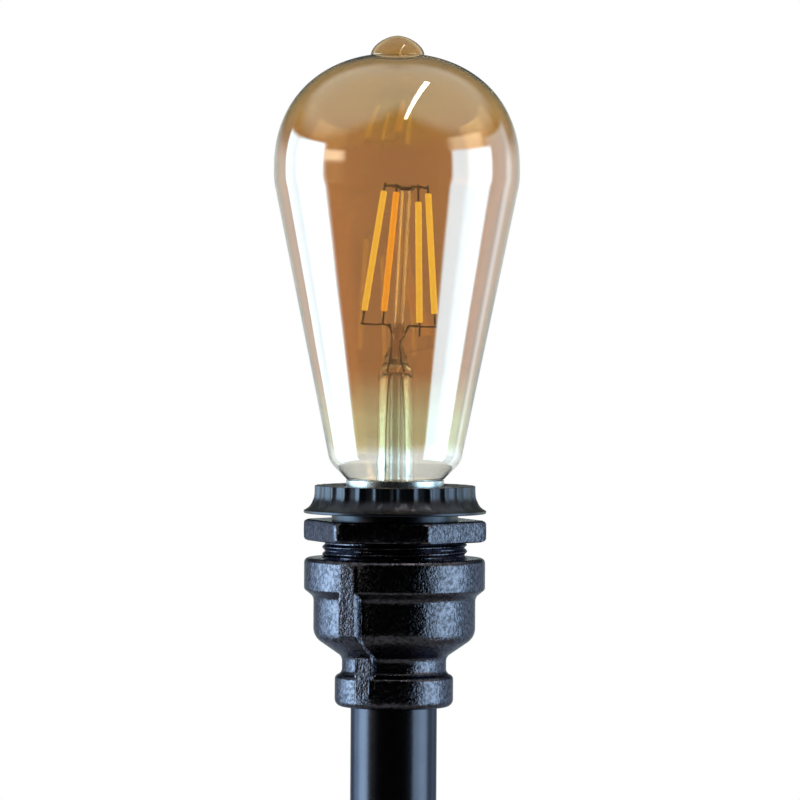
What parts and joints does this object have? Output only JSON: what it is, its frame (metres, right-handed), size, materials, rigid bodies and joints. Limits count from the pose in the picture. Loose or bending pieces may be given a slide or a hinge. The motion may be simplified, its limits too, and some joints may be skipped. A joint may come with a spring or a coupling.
{
  "type": "pipe lamp",
  "caption": "Pipe lamp: an amber filament bulb screwed into a holder with a fluted shade ring, on a hexagon bush, a cast reducer, a pipe and a screw-down flange.",
  "frame": {"origin": "centre of the flange's mounting face", "axes": "+Z from the mounting face along the pipe to the tip of the bulb, -Y towards the viewer of the picture, +X to the viewer's right"},
  "size_m": [0.08, 0.08, 0.3177],
  "materials": {
    "cast_iron_black": "rough sand-cast, black paint",
    "pipe_black": "satin black paint",
    "ring_black": "moulded, smooth",
    "holder_black": "moulded",
    "brass": "bright",
    "porcelain": "glazed",
    "steel": "plated",
    "wire_brown": "wire insulation",
    "wire_blue": "wire insulation",
    "wire_green": "wire insulation",
    "nylon": "natural",
    "amber_glass": "amber coating that fades to clear at the neck",
    "clear_glass": "clear",
    "lead_wire": "drawn wire",
    "phosphor": "phosphor silicone",
    "phosphor_deep": "phosphor silicone",
    "cap_metal": "rolled sheet",
    "cap_black": "black glass insulator",
    "cement": "capping cement",
    "board": "circuit board",
    "driver_black": "moulded components"
  },
  "bodies": {
    "fitting": {"flange": "cast_iron_black", "flange_hub": "cast_iron_black", "pipe": "pipe_black", "reducer": "cast_iron_black", "hex_bush": "cast_iron_black", "holder_barrel": "holder_black", "screw_shell": "brass", "contact_carrier": "porcelain", "retaining_ring": "holder_black", "contact_foot": "brass", "live_terminal": "brass", "neutral_terminal": "brass", "terminal_screws": "steel", "shell_strap": "brass", "live_wire": "wire_brown", "neutral_wire": "wire_blue", "earth_wire": "wire_green", "wire_ferrules": "steel", "earth_lug": "steel", "earth_screw": "steel", "wire_bush": "nylon"},
    "ring": {"shade_ring": "ring_black"},
    "contact": {"centre_contact": "brass"},
    "bulb_tip": {"tip_contact": "steel"},
    "bulb": {"bulb_glass": "amber_glass", "stem_glass": "clear_glass", "support_rod": "clear_glass", "top_support": "lead_wire", "lead_wires": "lead_wire", "filament_1": "phosphor", "filament_2": "phosphor_deep", "filament_3": "phosphor", "filament_4": "phosphor", "cap_shell": "cap_metal", "cap_insulator": "cap_black", "cap_cement": "cement", "tip_wire": "brass", "driver_board": "board", "driver_parts": "driver_black"}
  },
  "joints": [
    {"name": "bulb_lift", "type": "slide", "parent": "fitting", "child": "bulb_tip", "axis": [0, 0, 1], "range_m": [0, 0.01815]},
    {"name": "bulb_turn", "type": "hinge", "parent": "bulb_tip", "child": "bulb", "pos_m": [0, 0, 0.2022], "axis": [0, 0, 1], "range_deg": [0, 1800]},
    {"name": "ring_turn", "type": "hinge", "parent": "fitting", "child": "ring", "pos_m": [0, 0, 0.197], "axis": [0, 0, 1], "range_deg": [-270, 720]},
    {"name": "contact_flex", "type": "hinge", "parent": "fitting", "child": "contact", "pos_m": [0.004, 0, 0.17195], "axis": [0, 1, 0], "range_deg": [-8, 0], "stiffness_Nm_per_rad": 0.06}
  ],
  "couplings": [
    {"joint": "bulb_lift", "follows": "bulb_turn", "m_per_rad": 0.00057751}
  ]
}
